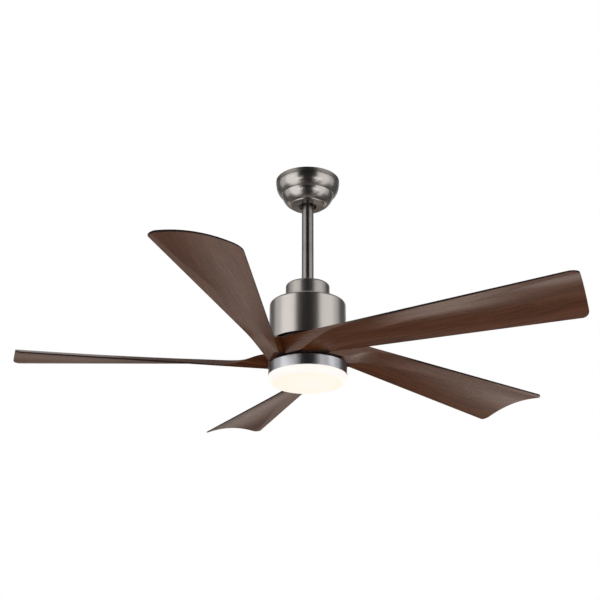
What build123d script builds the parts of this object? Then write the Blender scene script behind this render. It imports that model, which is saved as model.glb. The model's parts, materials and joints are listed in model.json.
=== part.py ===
from build123d import *
import os
from math import atan2, cos, degrees, hypot, pi, radians, sin, tan

# Ceiling fan with light. Millimetres, +Z up.
# The origin is on the ceiling, where the fan's upright axis meets it, so all pieces hang below zero.

# Sheet metal and general play
SHEET = 1.2
RUNNING_GAP = 0.2

# Canopy against the ceiling
CANOPY_TOP = -0.6
CANOPY_NECK_R = 69.5
CANOPY_NECK_BOTTOM = -9.6
CANOPY_RIM_R = 72.0
CANOPY_BREAK_R = 60.0
CANOPY_BREAK_Z = -38.0
CANOPY_BREAK_STEP = 1.3
CANOPY_FOOT_R = 40.0
CANOPY_FOOT_Z = -63.0
CANOPY_BOTTOM = -66.0
CANOPY_HOLE_R = 20.5
CANOPY_BOW = 4.0
CANOPY_FOOT_ROUND = 4.0
CANOPY_FOOT_BOW = 0.8
CANOPY_RING_R = 73.0
CANOPY_RING_BOTTOM = -9.2
CANOPY_RING_WALL = 1.1
CANOPY_SCREW_Z = -5.2
CANOPY_SCREW_HOLE_R = 2.2

# Hanger bracket on the outlet box
BOX_SCREW_SPACING = 88.9
BOX_SLOT_WIDTH = 5.5
BOX_SLOT_LENGTH = 12.0
PLATE_LENGTH = 124.0
PLATE_WIDTH = 46.0
PLATE_THICKNESS = 2.5
EAR_LENGTH = 135.0
EAR_WIDTH = 16.0
LEG_WIDTH = 28.0
LEG_Y = 28.75
SHELF_Z = -21.5
SHELF_DEPTH = 9.0
SHELF_THICKNESS = 1.0
TAB_THICKNESS = 2.0
TAB_BOTTOM = -12.0
TAPPED_HOLE_R = 2.0
WIRE_HOLE_X = -57.0
WIRE_HOLE_R = 4.0
GROUND_SCREW_X = -54.0
GROUND_SCREW_Y = 16.0

# Remote receiver on the bracket's shelves, and the terminal block for the supply wires
RECEIVER_HALF_LENGTH = 46.0
RECEIVER_HALF_WIDTH = 20.0
RECEIVER_TOP = -6.5
RECEIVER_ROUND = 4.0
RECEIVER_INLET_R = 3.0
RECEIVER_INLET_Z = -14.0
TERMINAL_X = 56.0
TERMINAL_HALF_DEPTH = 5.0
TERMINAL_HALF_LENGTH = 14.0
TERMINAL_BOTTOM = -15.0
TERMINAL_ROWS = (-9.0, 0.0, 9.0)
TERMINAL_WELL_R = 2.4
TERMINAL_WELL_DEPTH = 5.0
TERMINAL_WIRE_R = 2.0
TERMINAL_WIRE_Z = -8.0
TERMINAL_WIRE_DEPTH = 4.0
TERMINAL_SCREW_Z = -12.0

# Ball joint that carries the fan
BALL_Z = -44.0
BALL_R = 25.0
BALL_RISE = 9.0
BALL_DROP = 17.0
LINER_THICKNESS = 1.8
LINER_RISE = -6.0
LINER_DROP = 15.5
SEAT_HOLE_R = 20.0
SEAT_OUTER_R = 31.0
SEAT_TOP = -49.0
SEAT_BOTTOM = -61.0
SEAT_SLOT_WIDTH = 28.0
BALL_PIN_Z = -42.0
BALL_PIN_R = 3.0
BALL_PIN_LENGTH = 44.0
BALL_SCREW_Z = -40.0
BALL_SCREW_R = 2.5
BALL_SCREW_END = 23.0
BALL_SCREW_SOCKET = 2.0

# Downrod and yoke
ROD_R = 13.35
ROD_BORE_R = 11.0
ROD_TOP = -26.0
ROD_BOTTOM = -326.0
PLUG_TOP = -28.0
PLUG_BOTTOM = -38.0
YOKE_R = 20.0
YOKE_TOP = -272.0
YOKE_SLEEVE_BOTTOM = -331.0
YOKE_FLANGE_R = 42.0
YOKE_FLANGE_THICKNESS = 5.0
YOKE_SOCKET_R = 16.0
YOKE_BOTTOM = -346.0
CLEVIS_Z = -286.0
CLEVIS_R = 3.0
CLEVIS_HEAD_R = 5.0
CLEVIS_HEAD = 3.0
CLEVIS_HEAD_X = -24.5
CLEVIS_CLIP_X = 24.5
CLEVIS_END_X = 28.0
CLIP_WIRE_R = 0.9
CLIP_LEG = 9.0
CLIP_BOW_R = 2.6
SET_SCREW_Z = -295.0
SET_SCREW_R = 2.95
SET_SCREW_THREAD = 9.2
SET_SCREW_HEX_R = 5.2
SET_SCREW_HEAD = 4.0
SET_SCREW_DIMPLE_R = 2.0
HOUSING_SCREWS = 4
HOUSING_SCREW_CIRCLE_R = 34.0
HOUSING_SCREW_ANGLE = 45.0
HOUSING_NUT_R = 4.0
HOUSING_NUT_HEIGHT = 3.0

# Coupling cover, resting on the housing
COVER_R = 48.9
COVER_TOP = -263.0
COVER_ROUND = 5.0

# Motor housing
HOUSING_R = 84.4
HOUSING_TOP = -308.0
HOUSING_BOTTOM = -401.0
HOUSING_ROUND = 6.0
HOUSING_LIP = 2.0
SLIP_GAP = 0.4

# Leads in the rod and the hollow shaft
LEADS = 5
LEAD_R = 0.65
LEAD_BUNDLE_R = 1.7
LEAD_SIDE = 5.3
LEAD_SQUEEZE = 0.75
LEAD_SPREAD = 1.4
LEAD_BEND_TOP = -305.0
LEAD_BEND_BOTTOM = -322.0
LEAD_BEND_R = 12.0
PLUG_INNER = 4.8
PLUG_OUTER = 9.4
PLUG_HALF_WIDTH = 4.5
PLUG_PINS = (-2.6, 0.0, 2.6)

# Motor
SHAFT_R = 8.5
SHAFT_BORE_R = 4.6
SHAFT_TOP = -328.0
SHAFT_SHOULDER_Z = -450.0
NIPPLE_R = 6.5
NIPPLE_BOTTOM = -462.0
BEARING_R = 17.5
BEARING_WIDTH = 10.0
UPPER_BEARING_TOP = -348.0
LOWER_BEARING_TOP = -392.0
BEARING_BALLS = 9
BEARING_BALL_R = 2.4
RACE_R = 2.5
RING_WALL = 2.9
BALL_CIRCLE_R = (SHAFT_R + BEARING_R) / 2
CIRCLIP_WIDTH = 2.4
CIRCLIP_THICKNESS = 1.2
CIRCLIP_GAP = 4.0
SHAFT_PORT_R = 1.5
SHAFT_PORT_Z = -360.2
STATOR_TOP = -362.0
STATOR_BOTTOM = -390.0
STATOR_R = 62.2
STATOR_YOKE_R = 34.0
TEETH = 12
TOOTH_WIDTH = 8.0
TOOTH_TIP = 4.2
TOOTH_TIP_SPAN = 24.0
STATOR_VENTS = 6
STATOR_VENT_CIRCLE_R = 21.0
STATOR_VENT_R = 4.0
COIL_WIDTH = 4.5
COIL_RISE = 4.0
COIL_ROUND = 3.5
COIL_PLAY = 0.1
MAGNETS = 14
MAGNET_INNER_R = 63.0
ROTOR_RING_INNER_R = 66.0
ROTOR_RING_R = 70.0
BELL_R = 71.0
BELL_THICKNESS = 4.0
BELL_TOP = -351.0
BELL_BOTTOM = -401.0
BOSS_R = 21.0
BEARING_STOP = 2.0
BELL_VENTS = 8
BELL_VENT_CIRCLE_R = 44.0
BELL_VENT_LENGTH = 18.0
BELL_VENT_WIDTH = 7.0
MAGNET_OVERHANG = 2.0
MAGNET_SPLIT = 2.0
ROTOR_SCREWS = 4
ROTOR_SCREW_ANGLE = 45.0
ROTOR_SCREW_R = 1.6

# Blade hub and blades
HUB_PLATE_R = 80.0
HUB_PLATE_TOP = -406.0
HUB_PLATE_BOTTOM = -411.0
HUB_PLATE_HOLE_R = 24.0
HUB_SCREW_CIRCLE_R = 40.0
HUB_SCREW_R = 2.0
HUB_SCREW_HOLE_R = 2.2
HUB_COLLAR_R = 55.0
HUB_COLLAR_HOLE_R = 30.0
ROOT_TOP = -412.0
ROOT_BOTTOM = -447.2
ROOT_BORE_R = 46.0
BLADES = 5
BLADE_STEP = 360.0 / BLADES
FIRST_BLADE_ANGLE = -28.8
BLADE_SCREW_CIRCLE_R = 66.0
BLADE_SCREWS = 3
BLADE_SCREW_STEP = 20.0
BLADE_SCREW_SEAT_Z = -421.0
BLADE_SCREW_R = 2.45
BLADE_SCREW_HOLE_R = 2.7
BLADE_SCREW_WELL_R = 5.6
GASKET_HOLE_R = 2.8
GASKET_INSET = 5.0
GASKET_EDGE = 2.0
GASKET_SPLIT = 10.0
SEAM_GAP = 0.3

# One blade in its own frame: x outwards along its centre line, y to the trailing side
EDGE_SPREAD = tan(radians(5.72))
LEAD_OFFSET = 94.0
TRAIL_OFFSET = 54.3
TIP_LEAD_X = 647.5
TIP_TRAIL_X = 619.5
TIP_ROUND = 17.0
LEAD_DROOP = 0.0095
TRAIL_DROOP = 0.0075
LEAD_FOLD_RUN = 190.0
LEAD_FOLD_POWER = 6.0
TRAIL_FOLD_START = 80.0
TRAIL_FOLD_RUN = 100.0
FACE_SLOPE = 0.5
CREASE_REACH = 690.0
CREASE_POWER = 2.1
CREASE_TIP_SHARE = 0.06
CREASE_ROOT_SHARE = 0.9
CREASE_LIFT = 6.0
CREASE_LIFT_START = 20.0
CREASE_LIFT_RUN = 100.0
THIN_START = 50.0
THIN_RUN = 130.0
TIP_ARCH = 13.0
ARCH_POWER = 1.6
EDGE_ROOT = 4.6
EDGE_TIP = 2.6
MIDDLE_ROOT = 6.4
MIDDLE_TIP = 4.4
STATIONS = range(-25, 666, 30)
OUTLINE_SLACK = 0.15
OUTLINE_ROOT_X = -120.0
OUTLINE_DEPTH = 100.0
FILL_SHARE = 0.8
FILL_CORNER = (30.0, -72.0)
SEAM_REACH = 300.0

# Light
BAND_R = 85.7
BAND_TOP = -452.0
BAND_BOTTOM = -476.2
BAND_HOLE_R = 22.0
BAND_ROUND = 1.6
LIGHT_PLATE_R = 60.0
PLATE_WINDOW_CIRCLE_R = 32.0
PLATE_WINDOW_LENGTH = 26.0
PLATE_WINDOW_WIDTH = 12.0
BAND_SCREWS = 3
BAND_SCREW_ANGLE = 30.0
BAND_SCREW_CIRCLE_R = 50.0
BAND_SCREW_R = 1.9
BAND_SCREW_HOLE_R = 2.1
NUT_ACROSS_FLATS = 19.0
NUT_HEIGHT = 6.0
BOARD_TOP = -466.0
BOARD_THICKNESS = 1.6
BOARD_R = 78.0
BOARD_HOLE_R = 12.0
STANDOFFS = 3
STANDOFF_ANGLE = 90.0
STANDOFF_CIRCLE_R = 70.0
STANDOFF_R = 3.4
BOARD_SCREW_R = 1.5
BOARD_SCREW_HOLE_R = 1.7
DRIVER_HALF_LENGTH = 34.0
DRIVER_NEAR = 26.0
DRIVER_FAR = 58.0
DRIVER_LIFT = 2.0
DRIVER_ROUND = 3.0
CHIP_SIZE = 3.5
CHIP_HEIGHT = 0.8
CHIP_RINGS = ((22.0, 8), (42.0, 14), (61.0, 20))
DIFFUSER_R = 85.2
DIFFUSER_TOP = -467.0
DIFFUSER_RIM_Z = -476.6
DIFFUSER_BOTTOM = -493.0
DIFFUSER_WALL = 2.0
DIFFUSER_ROUND = 9.0
DIFFUSER_DOME = 1.6
NECK_R = 82.8
LUGS = 3
LUG_ANGLE = 90.0
LUG_SPAN = 14.0
LUG_HEIGHT = 2.2
LUG_PLAY = 0.4
LEDGE_SPAN = 20.0
LEDGE_TOP = -469.4
LEDGE_BOTTOM = -471.2
LEDGE_PLAY = 0.3

# Screws: head radius, head height, shank radius, shank length
CANOPY_SCREW = (3.2, 1.7, 1.95, 5.5)
GROUND_SCREW = (3.8, 2.4, 1.95, 2.4)
TERMINAL_SCREW = (2.2, 1.6, 1.5, 2.0)
HOUSING_SCREW = (3.6, 2.4, TAPPED_HOLE_R, 11.0)
ROTOR_SCREW = (2.9, 2.2, ROTOR_SCREW_R, 49.0)
HUB_SCREW = (3.6, 2.6, HUB_SCREW_R, 13.5)
BLADE_SCREW = (4.6, 3.2, BLADE_SCREW_R, 17.0)
BAND_SCREW = (3.5, 2.2, BAND_SCREW_R, 3.2)
BOARD_SCREW = (2.8, 1.8, BOARD_SCREW_R, 9.0)


def upright(radius, z_low, z_high):
    """Solid cylinder on the fan's axis between two heights."""
    return Pos(0, 0, (z_low + z_high) / 2) * Cylinder(radius, z_high - z_low)


def tube(outer, inner, z_low, z_high):
    """Hollow cylinder on the fan's axis."""
    return upright(outer, z_low, z_high) - upright(inner, z_low, z_high)


def block(x, y, z):
    """Box between two limits on each axis."""
    size = [high - low for low, high in (x, y, z)]
    middle = [(high + low) / 2 for low, high in (x, y, z)]
    return Pos(*middle) * Box(*size)


def turned(points, rounds=()):
    """Solid of revolution from a closed (radius, height) outline; rounds are (corner, radius)."""
    face = Face(Wire.make_polygon([(r, 0, z) for r, z in points], close=True))
    for corner, radius in rounds:
        place = Vector(points[corner][0], 0, points[corner][1])
        vertex = min(face.vertices(), key=lambda v: (Vector(v.X, v.Y, v.Z) - place).length)
        face = face.fillet_2d(radius, [vertex])
    return revolve(face, Axis.Z)


def arc_block(inner, outer, z_low, z_high, span):
    """Piece of a ring, centred on the +X side."""
    corners = [(inner, 0, z_low), (outer, 0, z_low), (outer, 0, z_high), (inner, 0, z_high)]
    piece = revolve(Face(Wire.make_polygon(corners, close=True)), Axis.Z, span)
    return Rot(0, 0, -span / 2) * piece


def around(piece, count, start=0.0):
    """Copies of a piece, evenly spaced about the fan's axis."""
    return [Rot(0, 0, start + 360 * k / count) * piece for k in range(count)]


def cut(body, tools):
    """A body with several tools taken out of it."""
    for tool in tools:
        body = body - tool
    return body


def group(pieces):
    """Separate solids that share one node."""
    return Compound(children=[solid for piece in pieces for solid in piece.solids()])


def screw(head_r, head_height, shank_r, shank_length):
    """Screw standing on its tip: the head's underside is at zero and the shank points up."""
    head = Pos(0, 0, -head_height / 2) * Cylinder(head_r, head_height)
    head = chamfer(head.edges().group_by(Axis.Z)[0], head_height * 0.35)
    slot = Pos(0, 0, -head_height) * Box(head_r * 1.3, head_height * 0.45, head_height * 0.9)
    cross = slot + Rot(0, 0, 90) * slot
    return head - cross + Pos(0, 0, shank_length / 2) * Cylinder(shank_r, shank_length)


# Ceiling mount

def bow(start, end, rise):
    """Arc between two (radius, height) points that swells outwards by the rise."""
    across, along = end[0] - start[0], end[1] - start[1]
    length = hypot(across, along)
    middle_r = (start[0] + end[0]) / 2 - along / length * rise
    middle_z = (start[1] + end[1]) / 2 + across / length * rise
    return ThreePointArc((start[0], 0, start[1]), (middle_r, 0, middle_z), (end[0], 0, end[1]))


def run(*points):
    """Straight lines through (radius, height) points."""
    return [Line((a[0], 0, a[1]), (b[0], 0, b[1])) for a, b in zip(points[:-1], points[1:])]


def hanger_bracket():
    plate = block((-PLATE_LENGTH / 2, PLATE_LENGTH / 2), (-PLATE_WIDTH / 2, PLATE_WIDTH / 2),
                  (-PLATE_THICKNESS, 0))
    plate += block((-EAR_LENGTH / 2, EAR_LENGTH / 2), (-EAR_WIDTH / 2, EAR_WIDTH / 2),
                   (-PLATE_THICKNESS, 0))
    leg_outer = LEG_Y + PLATE_THICKNESS / 2
    leg_inner = LEG_Y - PLATE_THICKNESS / 2
    plate += block((-LEG_WIDTH / 2, LEG_WIDTH / 2), (-leg_outer, leg_outer), (-PLATE_THICKNESS, 0))
    seat = tube(SEAT_OUTER_R, SEAT_HOLE_R, SEAT_BOTTOM, SEAT_TOP)
    body = plate + seat
    for side in (-1, 1):
        y_range = sorted((side * leg_inner, side * leg_outer))
        shelf_range = sorted((side * (leg_inner - SHELF_DEPTH), side * leg_outer))
        tab_range = sorted((side * (EAR_LENGTH / 2 - TAB_THICKNESS), side * EAR_LENGTH / 2))
        body += block((-LEG_WIDTH / 2, LEG_WIDTH / 2), y_range, (SEAT_BOTTOM, 0))
        body += block((-LEG_WIDTH / 2, LEG_WIDTH / 2), shelf_range,
                      (SHELF_Z, SHELF_Z + SHELF_THICKNESS))
        body += block(tab_range, (-EAR_WIDTH / 2, EAR_WIDTH / 2), (TAB_BOTTOM, 0))
    body -= Pos(0, 0, BALL_Z) * Sphere(BALL_R + LINER_THICKNESS + 2 * RUNNING_GAP)
    body -= block((0, SEAT_OUTER_R + 5), (-SEAT_SLOT_WIDTH / 2, SEAT_SLOT_WIDTH / 2),
                  (SEAT_BOTTOM - 1, SEAT_TOP + 1))
    slot = extrude(SlotOverall(BOX_SLOT_LENGTH, BOX_SLOT_WIDTH), PLATE_THICKNESS)
    for side in (-1, 1):
        body -= Pos(side * BOX_SCREW_SPACING / 2, 0, -PLATE_THICKNESS) * slot
    body -= Pos(0, 0, CANOPY_SCREW_Z) * Rot(0, 90, 0) * Cylinder(TAPPED_HOLE_R, 2 * EAR_LENGTH)
    body -= Pos(WIRE_HOLE_X, 0, 0) * Cylinder(WIRE_HOLE_R, EAR_WIDTH)
    body -= Pos(GROUND_SCREW_X, GROUND_SCREW_Y, 0) * Cylinder(TAPPED_HOLE_R, EAR_WIDTH)
    return body


def canopy():
    neck_inner = CANOPY_NECK_R - SHEET
    rim_inner = CANOPY_RIM_R - SHEET
    step_r = CANOPY_BREAK_R - CANOPY_BREAK_STEP
    step_z = CANOPY_BREAK_Z - CANOPY_BREAK_STEP / 2
    rim = (CANOPY_RIM_R, CANOPY_NECK_BOTTOM)
    rim_under = (rim_inner, CANOPY_NECK_BOTTOM - SHEET)
    foot_flat_r = CANOPY_FOOT_R - CANOPY_FOOT_ROUND
    outer = run((CANOPY_NECK_R, CANOPY_TOP), (CANOPY_NECK_R, CANOPY_NECK_BOTTOM), rim)
    outer += [bow(rim, (CANOPY_BREAK_R, CANOPY_BREAK_Z), CANOPY_BOW)]
    outer += run((CANOPY_BREAK_R, CANOPY_BREAK_Z), (step_r, step_z))
    outer += [bow((step_r, step_z), (CANOPY_FOOT_R, CANOPY_FOOT_Z), CANOPY_BOW)]
    outer += [bow((CANOPY_FOOT_R, CANOPY_FOOT_Z), (foot_flat_r, CANOPY_BOTTOM), CANOPY_FOOT_BOW)]
    outer += run((foot_flat_r, CANOPY_BOTTOM), (CANOPY_HOLE_R, CANOPY_BOTTOM),
                 (CANOPY_HOLE_R, CANOPY_BOTTOM + SHEET), (foot_flat_r, CANOPY_BOTTOM + SHEET))
    foot_inner = (CANOPY_FOOT_R - SHEET, CANOPY_FOOT_Z + SHEET / 2)
    break_inner = (step_r - SHEET, step_z)
    inner = [bow(foot_inner, (foot_flat_r, CANOPY_BOTTOM + SHEET), CANOPY_FOOT_BOW)]
    inner += [bow(break_inner, foot_inner, CANOPY_BOW), bow(rim_under, break_inner, CANOPY_BOW)]
    inner += run(rim_under, (neck_inner, CANOPY_NECK_BOTTOM - SHEET), (neck_inner, CANOPY_TOP),
                 (CANOPY_NECK_R, CANOPY_TOP))
    body = revolve(make_face(outer + inner), Axis.Z)
    hole = Rot(0, 90, 0) * Cylinder(CANOPY_SCREW_HOLE_R, 2 * CANOPY_RIM_R)
    return body - Pos(0, 0, CANOPY_SCREW_Z) * hole


def canopy_ring():
    inner = CANOPY_RING_R - CANOPY_RING_WALL
    flange = CANOPY_NECK_R + RUNNING_GAP
    return turned([(flange, CANOPY_TOP), (CANOPY_RING_R, CANOPY_TOP),
                   (CANOPY_RING_R, CANOPY_RING_BOTTOM), (inner, CANOPY_RING_BOTTOM),
                   (inner, CANOPY_TOP - SHEET), (flange, CANOPY_TOP - SHEET)],
                  rounds=((1, 0.9), (2, 0.4)))


def canopy_screws():
    piece = Pos(CANOPY_NECK_R, 0, CANOPY_SCREW_Z) * Rot(0, -90, 0) * screw(*CANOPY_SCREW)
    return group(around(piece, 2))


def ground_screw():
    return Pos(GROUND_SCREW_X, GROUND_SCREW_Y, -PLATE_THICKNESS) * screw(*GROUND_SCREW)


def remote_receiver():
    case = block((-RECEIVER_HALF_LENGTH, RECEIVER_HALF_LENGTH),
                 (-RECEIVER_HALF_WIDTH, RECEIVER_HALF_WIDTH),
                 (SHELF_Z + SHELF_THICKNESS, RECEIVER_TOP))
    case = fillet(case.edges().filter_by(Axis.Z), RECEIVER_ROUND)
    case = chamfer(case.faces().sort_by(Axis.Z)[-1].edges(), RECEIVER_ROUND / 4)
    inlet = Rot(0, 90, 0) * Cylinder(RECEIVER_INLET_R, 2 * TAB_THICKNESS)
    for side in (-1, 1):
        case -= Pos(side * RECEIVER_HALF_LENGTH, 0, RECEIVER_INLET_Z) * inlet
    return case


def terminal_block():
    near, far = TERMINAL_X - TERMINAL_HALF_DEPTH, TERMINAL_X + TERMINAL_HALF_DEPTH
    body = block((near, far), (-TERMINAL_HALF_LENGTH, TERMINAL_HALF_LENGTH),
                 (TERMINAL_BOTTOM, -PLATE_THICKNESS))
    well = Cylinder(TERMINAL_WELL_R, 2 * TERMINAL_WELL_DEPTH)
    wire_hole = Rot(0, 90, 0) * Cylinder(TERMINAL_WIRE_R, 2 * TERMINAL_WIRE_DEPTH)
    for y in TERMINAL_ROWS:
        body -= Pos(TERMINAL_X, y, TERMINAL_BOTTOM) * well
        body -= Pos(far, y, TERMINAL_WIRE_Z) * wire_hole
    return body


def terminal_screws():
    return group([Pos(TERMINAL_X, y, TERMINAL_SCREW_Z) * screw(*TERMINAL_SCREW)
                  for y in TERMINAL_ROWS])


# Ball joint

def ball_zone(radius, low, high):
    """Slice of a ball about the joint's centre, between two heights from that centre."""
    slab = block((-radius, radius), (-radius, radius), (BALL_Z + low, BALL_Z + high))
    return (Pos(0, 0, BALL_Z) * Sphere(radius)) & slab


def seat_liner():
    inner = BALL_R + RUNNING_GAP
    body = ball_zone(inner + LINER_THICKNESS, -LINER_DROP, LINER_RISE)
    body -= Pos(0, 0, BALL_Z) * Sphere(inner)
    slot_half = SEAT_SLOT_WIDTH / 2
    return body - block((0, 2 * BALL_R), (-slot_half, slot_half), (BALL_Z - BALL_R, BALL_Z))


def hanger_ball():
    body = ball_zone(BALL_R, -BALL_DROP, BALL_RISE) - upright(ROD_R, BALL_Z - BALL_R, BALL_Z + BALL_R)
    body -= Pos(0, 0, BALL_PIN_Z) * Rot(90, 0, 0) * Cylinder(BALL_PIN_R, 3 * BALL_R)
    thread = Rot(0, 90, 0) * Cylinder(BALL_SCREW_R, BALL_R)
    return body - Pos((ROD_R + BALL_R) / 2, 0, BALL_SCREW_Z) * thread


def ball_pin():
    pin = Pos(0, 0, BALL_PIN_Z) * Rot(90, 0, 0) * Cylinder(BALL_PIN_R, BALL_PIN_LENGTH)
    return chamfer(pin.edges().filter_by(GeomType.CIRCLE), BALL_PIN_R / 5)


def ball_set_screw():
    start = ROD_R + RUNNING_GAP / 2
    length = BALL_SCREW_END - start
    body = Pos(0, 0, length / 2) * Cylinder(BALL_SCREW_R, length)
    socket = extrude(RegularPolygon(BALL_SCREW_R * 0.56, 6), BALL_SCREW_SOCKET)
    body -= Pos(0, 0, length - BALL_SCREW_SOCKET) * socket
    return Pos(start, 0, BALL_SCREW_Z) * Rot(0, 90, 0) * body


# Downrod and yoke

def downrod():
    body = tube(ROD_R, ROD_BORE_R, ROD_BOTTOM, ROD_TOP)
    body -= Pos(0, 0, BALL_PIN_Z) * Rot(90, 0, 0) * Cylinder(BALL_PIN_R, 4 * ROD_R)
    return body - Pos(0, 0, CLEVIS_Z) * Rot(0, 90, 0) * Cylinder(CLEVIS_R, 4 * ROD_R)


def yoke():
    flange_bottom = HOUSING_TOP
    body = turned([(0, YOKE_TOP), (YOKE_R, YOKE_TOP),
                   (YOKE_R, flange_bottom + YOKE_FLANGE_THICKNESS),
                   (YOKE_FLANGE_R, flange_bottom + YOKE_FLANGE_THICKNESS),
                   (YOKE_FLANGE_R, flange_bottom), (YOKE_R, flange_bottom),
                   (YOKE_R, YOKE_SLEEVE_BOTTOM), (YOKE_SOCKET_R, YOKE_SLEEVE_BOTTOM),
                   (YOKE_SOCKET_R, YOKE_BOTTOM), (0, YOKE_BOTTOM)],
                  rounds=((1, 1.5), (2, 4.0), (3, 1.0)))
    body -= upright(ROD_R + RUNNING_GAP / 4, ROD_BOTTOM, YOKE_TOP + 1)
    body -= upright(SHAFT_R, YOKE_BOTTOM - 1, SHAFT_TOP)
    body -= upright(SHAFT_R - 0.5, SHAFT_TOP - 1, ROD_BOTTOM + 1)
    body -= Pos(0, 0, CLEVIS_Z) * Rot(0, 90, 0) * Cylinder(CLEVIS_R, 4 * YOKE_R)
    body -= Pos(0, 0, SET_SCREW_Z) * Rot(90, 0, 0) * Cylinder(SET_SCREW_R, 4 * YOKE_R)
    return cut(body, housing_screw_holes())


def clevis_pin():
    length = CLEVIS_END_X - CLEVIS_HEAD_X
    shank = Pos(0, 0, length / 2) * Cylinder(CLEVIS_R, length)
    head = Pos(0, 0, -CLEVIS_HEAD / 2) * Cylinder(CLEVIS_HEAD_R, CLEVIS_HEAD)
    head = fillet(head.edges().sort_by(Axis.Z)[0], CLEVIS_HEAD / 4)
    body = Pos(CLEVIS_HEAD_X, 0, CLEVIS_Z) * Rot(0, 90, 0) * (shank + head)
    return body - Pos(CLEVIS_CLIP_X, 0, CLEVIS_Z) * Cylinder(CLIP_WIRE_R + RUNNING_GAP / 2, 2 * CLIP_LEG)


def clevis_clip():
    """Spring wire: one leg goes through the pin, the other passes round it."""
    x, far = CLEVIS_CLIP_X, 2 * CLIP_BOW_R
    low, high = CLEVIS_Z - CLIP_LEG, CLEVIS_Z + CLIP_LEG
    path = Line((x, 0, low), (x, 0, high))
    path += ThreePointArc((x, 0, high), (x, CLIP_BOW_R, high + CLIP_BOW_R), (x, far, high))
    path += Line((x, far, high), (x, far, low + CLIP_LEG / 2))
    return sweep(Plane(origin=(x, 0, low)) * Circle(CLIP_WIRE_R), path)


def yoke_set_screws():
    """Two hexagon screws that press on the rod, each made along +Z from its tip."""
    thread = Pos(0, 0, SET_SCREW_THREAD / 2) * Cylinder(SET_SCREW_R, SET_SCREW_THREAD)
    head = Pos(0, 0, SET_SCREW_THREAD) * extrude(RegularPolygon(SET_SCREW_HEX_R, 6), SET_SCREW_HEAD)
    top = SET_SCREW_THREAD + SET_SCREW_HEAD
    piece = thread + head - Pos(0, 0, top) * Cylinder(SET_SCREW_DIMPLE_R, SET_SCREW_HEAD / 2)
    piece = Pos(0, ROD_R + RUNNING_GAP / 4, SET_SCREW_Z) * Rot(-90, 0, 0) * piece
    return group(around(piece, 2))


def coupling_cover():
    inner = COVER_R - SHEET
    hole = ROD_R + SLIP_GAP
    bottom = HOUSING_TOP + RUNNING_GAP
    return turned([(hole, COVER_TOP), (COVER_R, COVER_TOP), (COVER_R, bottom), (inner, bottom),
                   (inner, COVER_TOP - SHEET), (hole, COVER_TOP - SHEET)],
                  rounds=((1, COVER_ROUND), (4, COVER_ROUND - SHEET)))


# Wiring that runs down the rod and the hollow shaft

def lead_wires():
    """Insulated wires: beside the cross pins in the rod, then down the middle of the shaft."""
    wires = []
    for k in range(LEADS):
        turn = 2 * pi * k / LEADS
        off_x, off_y = LEAD_BUNDLE_R * cos(turn), LEAD_BUNDLE_R * sin(turn)
        side = (LEAD_SIDE + off_x * LEAD_SQUEEZE, LEAD_SIDE + off_y * LEAD_SQUEEZE)
        centre = (off_x * LEAD_SPREAD, off_y * LEAD_SPREAD)
        path = FilletPolyline((*side, PLUG_BOTTOM), (*side, LEAD_BEND_TOP), (*centre, LEAD_BEND_BOTTOM),
                              (*centre, NIPPLE_BOTTOM - SHEET), radius=LEAD_BEND_R)
        wires.append(sweep(Plane(origin=(*side, PLUG_BOTTOM)) * Circle(LEAD_R), path))
    return group(wires)


def lead_plug():
    """Small connector on the wires' upper ends, beside the ball's cross pin."""
    body = block((PLUG_INNER, PLUG_OUTER), (-PLUG_HALF_WIDTH, PLUG_HALF_WIDTH), (PLUG_BOTTOM, PLUG_TOP))
    body = chamfer(body.faces().sort_by(Axis.Z)[-1].edges(), LEAD_R)
    middle = (PLUG_INNER + PLUG_OUTER) / 2
    socket = Box(2 * SHEET, SHEET, (PLUG_TOP - PLUG_BOTTOM) * 0.8)
    for y in PLUG_PINS:
        body -= Pos(middle, y, PLUG_TOP) * socket
    return Rot(0, 0, 45) * body


# Motor

def motor_shaft():
    body = turned([(SHAFT_BORE_R, SHAFT_TOP), (SHAFT_R, SHAFT_TOP), (SHAFT_R, SHAFT_SHOULDER_Z),
                   (NIPPLE_R, SHAFT_SHOULDER_Z), (NIPPLE_R, NIPPLE_BOTTOM),
                   (SHAFT_BORE_R, NIPPLE_BOTTOM)], rounds=((4, 0.8),))
    return body - Pos(SHAFT_R, 0, SHAFT_PORT_Z) * Rot(0, 90, 0) * Cylinder(SHAFT_PORT_R, SHAFT_R)


def stator_core():
    height = STATOR_TOP - STATOR_BOTTOM
    tip_inner = STATOR_R - TOOTH_TIP
    tooth_length = tip_inner + 1 - STATOR_YOKE_R + 2
    tooth = Pos(STATOR_YOKE_R - 2 + tooth_length / 2, 0) * Rectangle(tooth_length, TOOTH_WIDTH)
    outline = Circle(STATOR_YOKE_R) + around(tooth, TEETH)
    core = Pos(0, 0, STATOR_BOTTOM) * extrude(outline, height)
    tip = arc_block(tip_inner, STATOR_R, STATOR_BOTTOM, STATOR_TOP, TOOTH_TIP_SPAN)
    for piece in around(tip, TEETH):
        core += piece
    core -= upright(SHAFT_R, STATOR_BOTTOM - 1, STATOR_TOP + 1)
    vent = Pos(STATOR_VENT_CIRCLE_R, 0, STATOR_BOTTOM) * Cylinder(STATOR_VENT_R, 4 * height)
    return cut(core, around(vent, STATOR_VENTS))


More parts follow.
